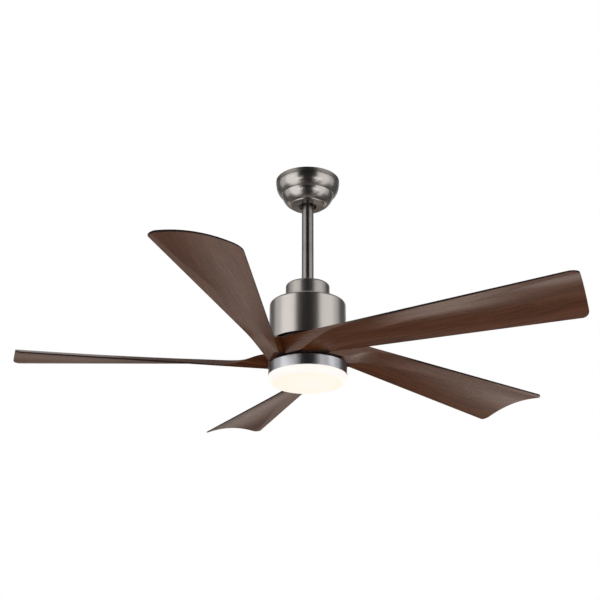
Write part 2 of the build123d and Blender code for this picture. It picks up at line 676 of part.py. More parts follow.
def stator_windings():
    """One plain coil round each tooth."""
    tip_inner = STATOR_R - TOOTH_TIP
    span = tip_inner - STATOR_YOKE_R - COIL_RISE
    middle_r = (tip_inner + STATOR_YOKE_R + 10 * COIL_PLAY) / 2
    middle_z = (STATOR_TOP + STATOR_BOTTOM) / 2
    height = STATOR_TOP - STATOR_BOTTOM
    coil = Box(span, TOOTH_WIDTH + 2 * COIL_WIDTH, height + 2 * COIL_RISE)
    coil = fillet(coil.edges().filter_by(Axis.X), COIL_ROUND)
    coil -= Box(2 * span, TOOTH_WIDTH + 2 * COIL_PLAY, height + 2 * COIL_PLAY)
    return group(around(Pos(middle_r, 0, middle_z) * coil, TEETH))


def bearing_place(index):
    """Middle height of the upper (0) or lower (1) bearing."""
    return (UPPER_BEARING_TOP, LOWER_BEARING_TOP)[index] - BEARING_WIDTH / 2


def bearing_rings(inner, outer):
    """The rings of both bearings between two radii, with their ball grooves."""
    rings = []
    for index in (0, 1):
        z = bearing_place(index)
        half = BEARING_WIDTH / 2
        ring = tube(outer, inner, z - half, z + half)
        rings.append(ring - Pos(0, 0, z) * Torus(BALL_CIRCLE_R, RACE_R))
    return group(rings)


def bearing_balls():
    balls = []
    for index in (0, 1):
        ball = Pos(BALL_CIRCLE_R, 0, bearing_place(index)) * Sphere(BEARING_BALL_R)
        balls += around(ball, BEARING_BALLS)
    return group(balls)


def shaft_circlip():
    top = LOWER_BEARING_TOP - BEARING_WIDTH
    bottom = top - CIRCLIP_THICKNESS
    ring = tube(SHAFT_R + CIRCLIP_WIDTH, SHAFT_R, bottom, top)
    return ring - block((0, 2 * SHAFT_R), (-CIRCLIP_GAP / 2, CIRCLIP_GAP / 2), (bottom - 1, top + 1))


def rotor_screw_holes():
    circle = (ROTOR_RING_INNER_R + ROTOR_RING_R) / 2
    hole = Pos(circle, 0, (BELL_TOP + BELL_BOTTOM) / 2) * Cylinder(ROTOR_SCREW_R, BELL_R)
    return around(hole, ROTOR_SCREWS, ROTOR_SCREW_ANGLE)


def rotor_bell_top():
    low = BELL_TOP - BELL_THICKNESS
    cup_bottom = UPPER_BEARING_TOP - BEARING_WIDTH - 1
    cup_top = UPPER_BEARING_TOP + 1
    body = turned([(BEARING_R, cup_bottom), (BOSS_R, cup_bottom), (BOSS_R, low), (BELL_R, low),
                   (BELL_R, BELL_TOP), (BOSS_R, BELL_TOP), (BOSS_R, cup_top),
                   (BEARING_R - BEARING_STOP, cup_top),
                   (BEARING_R - BEARING_STOP, UPPER_BEARING_TOP),
                   (BEARING_R, UPPER_BEARING_TOP)], rounds=((4, 1.5),))
    slot = extrude(SlotOverall(BELL_VENT_LENGTH, BELL_VENT_WIDTH), BELL_VENT_LENGTH, both=True)
    vent = Pos(BELL_VENT_CIRCLE_R, 0, BELL_TOP) * slot
    return cut(body, rotor_screw_holes() + around(vent, BELL_VENTS))


def rotor_bell_bottom():
    high = BELL_BOTTOM + BELL_THICKNESS
    seat = LOWER_BEARING_TOP - BEARING_WIDTH
    cup_bottom = seat - BEARING_STOP
    cup_top = LOWER_BEARING_TOP + 0.5
    body = turned([(BEARING_R - BEARING_STOP, cup_bottom), (BOSS_R, cup_bottom), (BOSS_R, BELL_BOTTOM),
                   (BELL_R, BELL_BOTTOM), (BELL_R, high), (BOSS_R, high), (BOSS_R, cup_top),
                   (BEARING_R, cup_top), (BEARING_R, seat), (BEARING_R - BEARING_STOP, seat)],
                  rounds=((3, 1.5),))
    return cut(body, rotor_screw_holes() + hub_screw_holes(HUB_SCREW_R))


def rotor_ring():
    body = tube(ROTOR_RING_R, ROTOR_RING_INNER_R, BELL_BOTTOM + BELL_THICKNESS,
                BELL_TOP - BELL_THICKNESS)
    return cut(body, rotor_screw_holes())


def rotor_magnets():
    magnet = arc_block(MAGNET_INNER_R, ROTOR_RING_INNER_R, STATOR_BOTTOM - MAGNET_OVERHANG,
                       STATOR_TOP + MAGNET_OVERHANG, 360 / MAGNETS - MAGNET_SPLIT)
    return group(around(magnet, MAGNETS))


def rotor_screws():
    radius = (ROTOR_RING_INNER_R + ROTOR_RING_R) / 2
    piece = Pos(radius, 0, BELL_TOP) * Rot(180, 0, 0) * screw(*ROTOR_SCREW)
    return group(around(piece, ROTOR_SCREWS, ROTOR_SCREW_ANGLE))


def housing_screw_holes():
    hole = Pos(HOUSING_SCREW_CIRCLE_R, 0, HOUSING_TOP) * Cylinder(TAPPED_HOLE_R, 4 * YOKE_FLANGE_THICKNESS)
    return around(hole, HOUSING_SCREWS, HOUSING_SCREW_ANGLE)


def motor_housing():
    inner = HOUSING_R - SHEET
    lip = inner - HOUSING_LIP
    hole = YOKE_R + SLIP_GAP
    body = turned([(hole, HOUSING_TOP), (HOUSING_R, HOUSING_TOP), (HOUSING_R, HOUSING_BOTTOM),
                   (lip, HOUSING_BOTTOM), (lip, HOUSING_BOTTOM + SHEET),
                   (inner, HOUSING_BOTTOM + SHEET), (inner, HOUSING_TOP - SHEET),
                   (hole, HOUSING_TOP - SHEET)],
                  rounds=((1, HOUSING_ROUND), (6, HOUSING_ROUND - SHEET), (2, 0.8)))
    return cut(body, housing_screw_holes())


def housing_screws():
    top = HOUSING_TOP + YOKE_FLANGE_THICKNESS
    piece = Pos(HOUSING_SCREW_CIRCLE_R, 0, top) * Rot(180, 0, 0) * screw(*HOUSING_SCREW)
    return group(around(piece, HOUSING_SCREWS, HOUSING_SCREW_ANGLE))


def housing_nuts():
    nut = extrude(RegularPolygon(HOUSING_NUT_R, 6), HOUSING_NUT_HEIGHT)
    nut -= Cylinder(TAPPED_HOLE_R, 4 * HOUSING_NUT_HEIGHT)
    piece = Pos(HOUSING_SCREW_CIRCLE_R, 0, HOUSING_TOP - SHEET - HOUSING_NUT_HEIGHT) * nut
    return group(around(piece, HOUSING_SCREWS, HOUSING_SCREW_ANGLE))


# Blade hub and blades

def hub_screw_holes(radius):
    hole = Pos(HUB_SCREW_CIRCLE_R, 0, HUB_PLATE_TOP) * Cylinder(radius, HUB_SCREW_CIRCLE_R)
    return around(hole, BLADES, FIRST_BLADE_ANGLE)


def on_blade(piece, k):
    """A piece of the first blade's frame, turned to blade k."""
    return Rot(0, 0, FIRST_BLADE_ANGLE + BLADE_STEP * k) * piece


def lead_line(x):
    return -(LEAD_OFFSET + EDGE_SPREAD * x)


def trail_line(x):
    return -TRAIL_OFFSET + EDGE_SPREAD * x


def seam_point():
    """Where the trailing edge meets the next blade's leading face, in the blade's frame."""
    turn = radians(BLADE_STEP)
    lean = -EDGE_SPREAD
    ahead = (cos(turn) - lean * sin(turn), sin(turn) + lean * cos(turn))
    foot = (LEAD_OFFSET * sin(turn), -LEAD_OFFSET * cos(turn))
    steps = (trail_line(foot[0]) - foot[1]) / (ahead[1] - EDGE_SPREAD * ahead[0])
    x = foot[0] + ahead[0] * steps
    return x, trail_line(x)


def root_middle_angle():
    """Direction of the middle of the root, which ends at the seam, in the blade's frame."""
    x, y = seam_point()
    return degrees(atan2(y, x)) - BLADE_STEP / 2


def blade_screw_places():
    first = root_middle_angle() - BLADE_SCREW_STEP * (BLADE_SCREWS - 1) / 2
    turns = [radians(first + BLADE_SCREW_STEP * n) for n in range(BLADE_SCREWS)]
    return [(BLADE_SCREW_CIRCLE_R * cos(a), BLADE_SCREW_CIRCLE_R * sin(a)) for a in turns]


def smooth(value):
    """Soft step from 0 to 1."""
    value = min(max(value, 0.0), 1.0)
    return value * value * (3 - 2 * value)


def mix(start, end, share):
    return start + (end - start) * share


def blade_section(x):
    """Closed section across the blade: a box at the root, a thin arched plate further out."""
    out = max(x, 0.0)
    share = out / TIP_LEAD_X
    edge = mix(EDGE_ROOT, EDGE_TIP, share)
    lead_share = min(out / LEAD_FOLD_RUN, 1.0)
    lead_fold = 1 - (1 - lead_share ** 2) ** LEAD_FOLD_POWER
    trail_fold = smooth((x - TRAIL_FOLD_START) / TRAIL_FOLD_RUN)
    lead_y, trail_y = lead_line(x), trail_line(x)
    lead_top = ROOT_TOP - LEAD_DROOP * out
    trail_bottom = ROOT_BOTTOM - TRAIL_DROOP * max(x - TRAIL_FOLD_START, 0.0)
    lead_bottom = mix(ROOT_BOTTOM, lead_top - edge, lead_fold)
    trail_top = mix(ROOT_TOP, trail_bottom + edge, trail_fold)
    fold_y = lead_y + FACE_SLOPE * (lead_top - lead_bottom)
    crease_share = mix(CREASE_TIP_SHARE, 1, (1 - out / CREASE_REACH) ** CREASE_POWER)
    crease_share = min(crease_share, CREASE_ROOT_SHARE)
    crease_y = mix(fold_y, trail_y, crease_share)
    lift = CREASE_LIFT * sin(pi * crease_share) * smooth((x - CREASE_LIFT_START) / CREASE_LIFT_RUN)
    crease_low = mix(lead_bottom, trail_bottom, crease_share) + lift
    thin_top = crease_low + mix(MIDDLE_ROOT, MIDDLE_TIP, share)
    crease_top = mix(ROOT_TOP, thin_top, smooth((x - THIN_START) / THIN_RUN))
    arch = TIP_ARCH * share ** ARCH_POWER
    arch_y = (crease_y + trail_y) / 2
    low_arch = (x, arch_y, (crease_low + trail_bottom) / 2 + 2 * arch)
    top_arch = (x, arch_y, (crease_top + trail_top) / 2 + 2 * arch)
    corners = [(x, fold_y, lead_bottom), (x, crease_y, crease_low), (x, trail_y, trail_bottom),
               (x, trail_y, trail_top), (x, crease_y, crease_top), (x, lead_y, lead_top)]
    edges = [Line(corners[0], corners[1]), Bezier(corners[1], low_arch, corners[2]),
             Line(corners[2], corners[3]), Bezier(corners[3], top_arch, corners[4]),
             Line(corners[4], corners[5]), Line(corners[5], corners[0])]
    return Wire(edges)


def blade_outline():
    """Plan of the blade with its slanted tip and rounded tip corners, as a tall prism."""
    root_x = OUTLINE_ROOT_X
    corners = [(root_x, lead_line(root_x) - OUTLINE_SLACK),
               (TIP_LEAD_X, lead_line(TIP_LEAD_X) - OUTLINE_SLACK),
               (TIP_TRAIL_X, trail_line(TIP_TRAIL_X) + OUTLINE_SLACK),
               (root_x, trail_line(root_x) + OUTLINE_SLACK)]
    face = Face(Wire.make_polygon([(x, y, 0) for x, y in corners], close=True))
    tips = face.vertices().sort_by(Axis.X)[-2:]
    prism = extrude(face.fillet_2d(TIP_ROUND, tips), OUTLINE_DEPTH)
    return Pos(0, 0, ROOT_TOP - OUTLINE_DEPTH) * prism


def seam_wall(angle, reach, side):
    """Block against a root's end plane, on its clockwise (-1) or anticlockwise (1) side."""
    wide = SEAM_REACH / 2
    wall = Pos(reach / 2, side * (wide / 2 - SEAM_GAP), (ROOT_TOP + ROOT_BOTTOM) / 2)
    return Rot(0, 0, angle) * wall * Box(reach, wide, OUTLINE_DEPTH)


def blade():
    """The first blade, in the blade's own frame."""
    body = Solid.make_loft([blade_section(x) for x in STATIONS]) & blade_outline()
    seam = Vector(*seam_point(), 0)
    start = seam.rotate(Axis.Z, -BLADE_STEP)
    fill = [(0, 0), (start.X * FILL_SHARE, start.Y * FILL_SHARE), FILL_CORNER, (seam.X, seam.Y)]
    fill_face = Face(Wire.make_polygon([(x, y, ROOT_BOTTOM) for x, y in fill], close=True))
    body += extrude(fill_face, ROOT_TOP - ROOT_BOTTOM, dir=(0, 0, 1))
    body -= upright(ROOT_BORE_R, ROOT_BOTTOM - ROOT_BORE_R, ROOT_TOP + ROOT_BORE_R)
    middle = root_middle_angle()
    body -= seam_wall(middle - BLADE_STEP / 2, SEAM_REACH, -1)
    body -= seam_wall(middle + BLADE_STEP / 2, seam.length + SEAM_GAP, 1)
    depth = ROOT_TOP - ROOT_BOTTOM
    for x, y in blade_screw_places():
        body -= Pos(x, y, ROOT_TOP) * Cylinder(BLADE_SCREW_HOLE_R, 2 * depth)
        body -= Pos(x, y, BLADE_SCREW_SEAT_Z - depth / 2) * Cylinder(BLADE_SCREW_WELL_R, depth)
    return body


def blade_screws():
    pieces = []
    for k in range(BLADES):
        for x, y in blade_screw_places():
            piece = Pos(x, y, BLADE_SCREW_SEAT_Z) * screw(*BLADE_SCREW)
            pieces.append(on_blade(piece, k))
    return group(pieces)


def blade_gaskets():
    pad = arc_block(ROOT_BORE_R + GASKET_INSET, HUB_PLATE_R - GASKET_EDGE, ROOT_TOP,
                    HUB_PLATE_BOTTOM, BLADE_STEP - GASKET_SPLIT)
    pad = Rot(0, 0, root_middle_angle()) * pad
    hole = Cylinder(GASKET_HOLE_R, GASKET_INSET)
    pad = cut(pad, [Pos(x, y, ROOT_TOP) * hole for x, y in blade_screw_places()])
    return group([on_blade(pad, k) for k in range(BLADES)])


def blade_hub():
    body = tube(HUB_PLATE_R, HUB_PLATE_HOLE_R, HUB_PLATE_BOTTOM, HUB_PLATE_TOP)
    body += tube(HUB_COLLAR_R, HUB_COLLAR_HOLE_R, HUB_PLATE_TOP, BELL_BOTTOM)
    hole = Cylinder(BLADE_SCREW_R, HUB_PLATE_HOLE_R)
    holes = []
    for k in range(BLADES):
        holes += [on_blade(Pos(x, y, HUB_PLATE_TOP) * hole, k) for x, y in blade_screw_places()]
    return cut(body, holes + hub_screw_holes(HUB_SCREW_HOLE_R))


def hub_screws():
    piece = Pos(HUB_SCREW_CIRCLE_R, 0, HUB_PLATE_BOTTOM) * screw(*HUB_SCREW)
    return group(around(piece, BLADES, FIRST_BLADE_ANGLE))


# Light

def band_screw_holes(radius):
    hole = Pos(BAND_SCREW_CIRCLE_R, 0, BAND_TOP) * Cylinder(radius, BAND_HOLE_R)
    return around(hole, BAND_SCREWS, BAND_SCREW_ANGLE)


def light_plate():
    body = tube(LIGHT_PLATE_R, NIPPLE_R, BAND_TOP, SHAFT_SHOULDER_Z)
    slot = extrude(SlotOverall(PLATE_WINDOW_LENGTH, PLATE_WINDOW_WIDTH), PLATE_WINDOW_WIDTH, both=True)
    windows = around(Pos(PLATE_WINDOW_CIRCLE_R, 0, BAND_TOP) * slot, BAND_SCREWS, STANDOFF_ANGLE)
    return cut(body, band_screw_holes(BAND_SCREW_R) + windows)


def shaft_nut():
    nut = extrude(RegularPolygon(NUT_ACROSS_FLATS / 2, 6, major_radius=False), NUT_HEIGHT)
    nut = Pos(0, 0, BAND_TOP - NUT_HEIGHT) * nut
    return nut - upright(NIPPLE_R, BAND_TOP - 2 * NUT_HEIGHT, BAND_TOP + NUT_HEIGHT)


def light_band():
    inner = BAND_R - SHEET
    body = turned([(BAND_HOLE_R, BAND_TOP), (BAND_R, BAND_TOP), (BAND_R, BAND_BOTTOM),
                   (inner, BAND_BOTTOM), (inner, BAND_TOP - SHEET), (BAND_HOLE_R, BAND_TOP - SHEET)],
                  rounds=((1, BAND_ROUND), (2, 0.5)))
    ledge = arc_block(NECK_R + LEDGE_PLAY, inner + RUNNING_GAP, LEDGE_BOTTOM, LEDGE_TOP, LEDGE_SPAN)
    for piece in around(ledge, LUGS, LUG_ANGLE):
        body += piece
    return cut(body, band_screw_holes(BAND_SCREW_HOLE_R))


def band_screws():
    piece = Pos(BAND_SCREW_CIRCLE_R, 0, BAND_TOP - SHEET) * screw(*BAND_SCREW)
    return group(around(piece, BAND_SCREWS, BAND_SCREW_ANGLE))


def led_driver():
    case = block((-DRIVER_HALF_LENGTH, DRIVER_HALF_LENGTH), (DRIVER_NEAR, DRIVER_FAR),
                 (BOARD_TOP + DRIVER_LIFT, BAND_TOP - SHEET))
    case = fillet(case.edges().filter_by(Axis.Z), DRIVER_ROUND)
    return chamfer(case.faces().sort_by(Axis.Z)[0].edges(), DRIVER_ROUND / 4)


def led_standoffs():
    post = Pos(STANDOFF_CIRCLE_R, 0, 0) * tube(STANDOFF_R, BOARD_SCREW_R, BOARD_TOP, BAND_TOP - SHEET)
    return group(around(post, STANDOFFS, STANDOFF_ANGLE))


def led_board():
    body = tube(BOARD_R, BOARD_HOLE_R, BOARD_TOP - BOARD_THICKNESS, BOARD_TOP)
    hole = Pos(STANDOFF_CIRCLE_R, 0, BOARD_TOP) * Cylinder(BOARD_SCREW_HOLE_R, 4 * BOARD_THICKNESS)
    return cut(body, around(hole, STANDOFFS, STANDOFF_ANGLE))


def board_screws():
    piece = Pos(STANDOFF_CIRCLE_R, 0, BOARD_TOP - BOARD_THICKNESS) * screw(*BOARD_SCREW)
    return group(around(piece, STANDOFFS, STANDOFF_ANGLE))


def led_chips():
    chips = []
    z = BOARD_TOP - BOARD_THICKNESS - CHIP_HEIGHT / 2
    for radius, count in CHIP_RINGS:
        chips += around(Pos(radius, 0, z) * Box(CHIP_SIZE, CHIP_SIZE, CHIP_HEIGHT), count)
    return group(chips)


def diffuser():
    """Opal cup: a neck with three lugs inside the band and a shallow drum below it."""
    wall = DIFFUSER_WALL
    edge_z = DIFFUSER_BOTTOM + DIFFUSER_DOME
    neck_inner = NECK_R - wall
    outside = Face(Wire.make_polygon([(0, 0, DIFFUSER_BOTTOM), (0, 0, DIFFUSER_TOP),
                                      (NECK_R, 0, DIFFUSER_TOP), (NECK_R, 0, DIFFUSER_RIM_Z),
                                      (DIFFUSER_R, 0, DIFFUSER_RIM_Z), (DIFFUSER_R, 0, edge_z),
                                      (0, 0, DIFFUSER_BOTTOM)], close=True))
    corner = min(outside.vertices(), key=lambda v: abs(v.X - DIFFUSER_R) + abs(v.Z - edge_z))
    outside = outside.fillet_2d(DIFFUSER_ROUND, [corner])
    inside = Face(Wire.make_polygon([(0, 0, DIFFUSER_BOTTOM + wall), (0, 0, DIFFUSER_TOP + 1),
                                     (neck_inner, 0, DIFFUSER_TOP + 1),
                                     (neck_inner, 0, edge_z + wall),
                                     (0, 0, DIFFUSER_BOTTOM + wall)], close=True))
    corner = min(inside.vertices(), key=lambda v: abs(v.X - neck_inner) + abs(v.Z - edge_z - wall))
    inside = inside.fillet_2d(DIFFUSER_ROUND - wall, [corner])
    body = revolve(outside, Axis.Z) - revolve(inside, Axis.Z)
    lug = arc_block(NECK_R - LEDGE_PLAY, BAND_R - SHEET - LUG_PLAY, DIFFUSER_TOP - LUG_HEIGHT,
                    DIFFUSER_TOP, LUG_SPAN)
    for piece in around(lug, LUGS, LUG_ANGLE):
        body += piece
    return body


def all_pieces():
    """Every node by name."""
    pieces = {build.__name__: build() for build in (
        hanger_bracket, canopy, canopy_ring, canopy_screws, ground_screw, remote_receiver,
        terminal_block, terminal_screws, seat_liner, hanger_ball, ball_pin, ball_set_screw,
        downrod, yoke, clevis_pin, clevis_clip, yoke_set_screws, coupling_cover, lead_wires,
        lead_plug, motor_shaft, stator_core, stator_windings, bearing_balls, shaft_circlip,
        rotor_bell_top, rotor_bell_bottom, rotor_ring, rotor_magnets, rotor_screws, motor_housing,
        housing_screws, housing_nuts, blade_screws, blade_gaskets, blade_hub, hub_screws,
        light_plate, shaft_nut, light_band, band_screws, led_driver, led_standoffs, led_board,
        board_screws, led_chips, diffuser)}
    pieces["bearing_inner_rings"] = bearing_rings(SHAFT_R, SHAFT_R + RING_WALL)
    pieces["bearing_outer_rings"] = bearing_rings(BEARING_R - RING_WALL, BEARING_R)
    first_blade = blade()
    for k in range(BLADES):
        pieces[f"blade_{k + 1}"] = on_blade(first_blade, k)
    return pieces


os.makedirs("parts", exist_ok=True)
for name, piece in all_pieces().items():
    export_step(piece, f"parts/{name}.step")
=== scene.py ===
"""Ceiling fan with light: finishes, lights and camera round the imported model. Metres, +Z up."""
import json
from math import cos, pi, radians, sin, tan

import bpy
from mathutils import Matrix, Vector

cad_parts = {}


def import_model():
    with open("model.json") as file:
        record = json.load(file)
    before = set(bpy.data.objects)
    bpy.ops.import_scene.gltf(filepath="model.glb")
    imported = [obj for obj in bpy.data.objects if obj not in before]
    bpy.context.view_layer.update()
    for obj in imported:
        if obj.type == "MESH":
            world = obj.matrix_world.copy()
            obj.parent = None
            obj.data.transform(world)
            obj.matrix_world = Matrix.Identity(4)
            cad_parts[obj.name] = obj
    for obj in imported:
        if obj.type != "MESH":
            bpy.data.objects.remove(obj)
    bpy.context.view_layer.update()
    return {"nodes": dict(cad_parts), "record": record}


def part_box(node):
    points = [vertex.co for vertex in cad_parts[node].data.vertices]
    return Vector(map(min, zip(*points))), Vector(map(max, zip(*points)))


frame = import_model()

# The photo's viewing angle: the camera is below the blades, square to the fan, and looks up.
# Its lens and sensor are in millimetres. Angles are in degrees all through.
CAMERA_BACK = 2.3202
CAMERA_DROP = 1.2382
CAMERA_PITCH = 22.07
CAMERA_LENS = 67.53
CAMERA_SENSOR = 36.0
CAMERA_SHIFT = -0.0128

# The turn about X with which a camera or a lamp looks level
LEVEL = 90.0

# Studio: a pale floor well below the fan, and a grey fill for all but what is seen or reflected.
# The lift is light that the floor gives to the camera alone.
WHITE = (1.0, 1.0, 1.0)
FLOOR_Z = -4.0
FLOOR_SIZE = 600.0
FLOOR_CLOUD = 0.8
FLOOR_TONES = [(0.3, (0.8, 0.8, 0.8)), (0.7, (0.84, 0.84, 0.84))]
FLOOR_LIFT = 0.4
AMBIENT = 0.42

# Soft boxes, a tall one and a short dim one on each side: first and last angle from the front
# about the fan's axis, lowest and highest edge, radiance
BOX_R = 2.4
SOFTBOXES = {
    "left_box": (-84.0, -36.0, -3.8, 1.4, 1.2),
    "left_fall": (-114.0, -84.0, -0.9, 1.4, 0.58),
    "right_box": (31.0, 84.0, -3.8, 1.4, 1.02),
    "right_fall": (84.0, 105.0, -0.9, 1.4, 0.56),
}

# Cards that only gloss sees: radius, first and last angle, lowest and highest edge, shade.
# The wide ones are the dark room, the strips light the metal, and the warm glows give the blades
# their sheen.
CARDS = {
    "front_card": (1.6, -34.0, 34.0, -14.0, 9.0, 0.01),
    "left_card": (4.2, -142.0, -34.0, -14.0, 9.0, 0.11),
    "right_card": (4.2, 34.0, 142.0, -14.0, 9.0, 0.1),
    "back_card": (4.2, 142.0, 218.0, -14.0, 9.0, 0.12),
    "left_band_strip": (1.5, -44.0, -22.0, -0.75, -0.4, 2.0),
    "right_band_strip": (1.5, 23.0, 52.0, -0.75, -0.4, 1.9),
    "level_glow": (4.0, 176.0, 184.5, -1.3, -0.35, 0.72),
    "tip_glow": (3.9, 150.0, 160.5, -2.3, -1.4, 1.6),
    "middle_glow": (4.0, 160.5, 171.0, -2.4, -1.1, 0.5),
    "low_glow": (4.0, 165.0, 181.0, -3.9, -2.5, 2.0),
    "floor_glow": (4.0, 152.0, 163.0, -5.8, -4.6, 1.8),
    "centre_glow": (4.0, 188.0, 197.0, -2.2, -0.9, 0.5),
    "left_glow": (4.0, 197.0, 218.0, -2.4, -0.95, 0.7),
    "root_glow": (4.0, 197.0, 207.0, -3.6, -2.8, 1.0),
    "right_glow": (4.0, 142.0, 160.0, -3.2, -1.6, 0.35),
    "back_left_strip": (4.1, 196.0, 210.0, 0.1, 9.0, 0.6),
    "back_right_strip": (4.1, 150.0, 164.0, 0.1, 9.0, 0.6),
}
GLOW_TINT = (1.0, 0.87, 0.78)
CARD_STEPS = 24

# Blades: angle of the first one's centre line and the step to the next
FIRST_BLADE_ANGLE = -28.8
BLADES = 5
BLADE_STEP = 360.0 / BLADES

# Walnut film: how each noise is packed along and across the blade, its share of the figure, and
# how far the grain sways
SWAY_STRETCH = (2.5, 24.0, 24.0)
SWAY_SHIFT = (0.0, 0.03, 0.03)
GRAIN_STRETCH = (5.0, 260.0, 260.0)
GRAIN_SHARE = 0.5
PORE_STRETCH = (14.0, 800.0, 800.0)
PORE_SHARE = 0.3
BROAD_STRETCH = (3.0, 40.0, 40.0)
BROAD_SHARE = 0.2
WALNUT_TONES = [
    (0.3, (0.04, 0.0105, 0.0031)),
    (0.44, (0.08, 0.0235, 0.0075)),
    (0.54, (0.115, 0.036, 0.012)),
    (0.7, (0.182, 0.06, 0.021)),
]

# Roughness of the film in dark and in pale grain, and what is added towards the tip, with the
# radii where that starts and is full
FILM_DARK = 0.29
FILM_PALE = 0.21
DULL_FROM = 0.3
DULL_FULL = 0.6
DULL_TIP = 0.04

# Dark edges of a blade's thin part: the radii, and the sideways part of a face's normal, at which
# they start and are full, their colour, and the roughness they add. The colour and the roughness
# also serve the painted shade under the blade roots
EDGE_FROM = 0.17
EDGE_FULL = 0.26
EDGE_TURN_FROM = 0.5
EDGE_TURN_FULL = 0.8
EDGE_AND_SHADE_COLOUR = (0.018, 0.0045, 0.0016)
EDGE_AND_SHADE_DULL = 0.65

# The painted shade under the blade roots, a dark ring: how far it reaches past the light band and
# above it, and the width over which it fades
RING_OUT = 0.01
RING_UP = 0.008
RING_FADE = 0.004

# Metal: packing of its clouds, broken lines and drawn lines, depth of the lines, and the quarter
# turn that lays the brushing round the axis
CLOUD_SCALE = 14.0
BROKEN_STRETCH = (60.0, 60.0, 1400.0)
DRAWN_STRETCH = (900.0, 900.0, 5.0)
LINE_DEPTH = 0.00001
QUARTER_TURN = 0.25

# Painted shade round the canopy's foot: its radius, the share of that where the shade is full, and the
# shade
FOOT_R = 0.04
FOOT_FADE = 0.9
FOOT_SHADE = 0.5

# Opal diffuser: its body colour, its glow from the middle out to the side wall, and faint clouds
OPAL_BODY = (0.1, 0.098, 0.09)
OPAL_TONES = [
    (0.0, (0.9, 0.855, 0.78)),
    (0.6, (0.9, 0.84, 0.74)),
    (0.9, (0.9, 0.83, 0.715)),
    (1.0, (0.91, 0.87, 0.83)),
]
OPAL_CLOUD = 18.0
OPAL_CLOUD_SHARE = 0.12

# Light chips: tones of the phosphor, and the fineness of its noise
CHIP_TONES = [(0.3, (0.95, 0.72, 0.3)), (0.7, (1.0, 0.9, 0.62))]
CHIP_SCALE = 900.0

# Sheets about 1 mm thick and wire about 1.2 mm thick, as scales of a wave
SHEET_SCALE = 314.0
WIRE_SCALE = 260.0

# Tones of the plain finishes: value of the noise and share of the colour
BRUSHED_STEPS = [(0.2, 0.9), (0.9, 1.06)]
DRAWN_STEPS = [(0.7, 0.88), (1.0, 1.1)]
METAL_STEPS = [(0.25, 0.82), (0.75, 1.08)]
MOULDED_STEPS = [(0.3, 0.88), (0.7, 1.05)]
SHEET_STEPS = [(0.2, 0.55), (0.6, 1.0)]
WIRE_STEPS = [(0.1, 0.45), (0.7, 1.0)]

# Least and most share of a finish's roughness
BRUSHED_SPREAD = (0.9, 1.1)
DRAWN_SPREAD = (0.85, 1.15)
METAL_SPREAD = (0.8, 1.25)
MOULDED_SPREAD = (0.9, 1.1)


# Node helpers

def new_material(name):
    """A material with its tree and its main shader."""
    material = bpy.data.materials.new(name)
    material.use_nodes = True
    return material, material.node_tree, material.node_tree.nodes["Principled BSDF"]


def bare_tree(owner):
    """The emptied node tree of a material or the world."""
    owner.use_nodes = True
    owner.node_tree.nodes.clear()
    return owner.node_tree


def add(tree, kind, inputs=None, **settings):
    """A node with its settings, and its inputs set to values or linked to sockets."""
    made = tree.nodes.new(kind)
    for key, value in settings.items():
        setattr(made, key, value)
    for key, value in (inputs or {}).items():
        feed(tree, made.inputs[key], value)
    return made


def feed(tree, socket, value):
    """Links a socket to another one, or sets its value."""
    if isinstance(value, bpy.types.NodeSocket):
        tree.links.new(value, socket)
    else:
        socket.default_value = value


def dress(tree, shader, **inputs):
    """Sets or links the main shader's inputs, with spaces in their names written as underscores."""
    for key, value in inputs.items():
        feed(tree, shader.inputs[key.replace("_", " ")], value)


def scaled(colour, factor):
    """A colour made darker or lighter."""
    return tuple(channel * factor for channel in colour)


def opaque(colour):
    """A colour with full opacity, as a socket takes it."""
    return (*colour, 1.0)


def ramp(tree, fac, stops, interpolation="LINEAR"):
    """A colour ramp through (position, colour) stops."""
    made = add(tree, "ShaderNodeValToRGB", {"Fac": fac})
    made.color_ramp.interpolation = interpolation
    elements = made.color_ramp.elements
    while len(elements) < len(stops):
        elements.new(0.5)
    for element, (position, colour) in zip(elements, stops):
        element.position = position
        element.color = opaque(colour)
    return made.outputs["Color"]


def shades(tree, fac, colour, steps):
    """A ramp through darker and lighter shades of one colour, by (position, share) steps."""
    return ramp(tree, fac, [(position, scaled(colour, share)) for position, share in steps])


def mix(tree, factor, under, over):
    """A colour socket with a plain colour laid over it."""
    made = add(tree, "ShaderNodeMix", {"Factor": factor, "A": under, "B": opaque(over)},
               data_type="RGBA")
    return made.outputs["Result"]


def remap(tree, value, start=0.0, end=1.0, low=0.0, high=1.0):
    """Maps the range from start to end to the range from low to high, and holds it there."""
    made = add(tree, "ShaderNodeMapRange", {"Value": value, "From Min": start, "From Max": end,
                                            "To Min": low, "To Max": high})
    return made.outputs["Result"]


def uneven(tree, fac, roughness, spread):
    """A roughness that varies between two shares of itself."""
    least, most = spread
    return remap(tree, fac, low=roughness * least, high=roughness * most)


def calc(tree, operation, *values):
    """A maths node on values or sockets."""
    return add(tree, "ShaderNodeMath", dict(enumerate(values)), operation=operation).outputs["Value"]


def noise(tree, vector, scale=1.0, detail=3.0, roughness=0.55):
    """Noise from 0 to 1."""
    made = add(tree, "ShaderNodeTexNoise",
               {"Vector": vector, "Scale": scale, "Detail": detail, "Roughness": roughness})
    return made.outputs["Fac"]


def layers(tree, scale, distortion):
    """Waves stacked along the fan's axis, from 0 to 1."""
    made = add(tree, "ShaderNodeTexWave",
               {"Vector": place(tree), "Scale": scale, "Distortion": distortion}, bands_direction="Z")
    return made.outputs["Fac"]


def bump(tree, height, strength, distance):
    """Normals bent by a height."""
    made = add(tree, "ShaderNodeBump",
               {"Height": height, "Strength": strength, "Distance": distance})
    return made.outputs["Normal"]


def spot(tree):
    """The place of a point in the object's frame."""
    return add(tree, "ShaderNodeTexCoord").outputs["Object"]


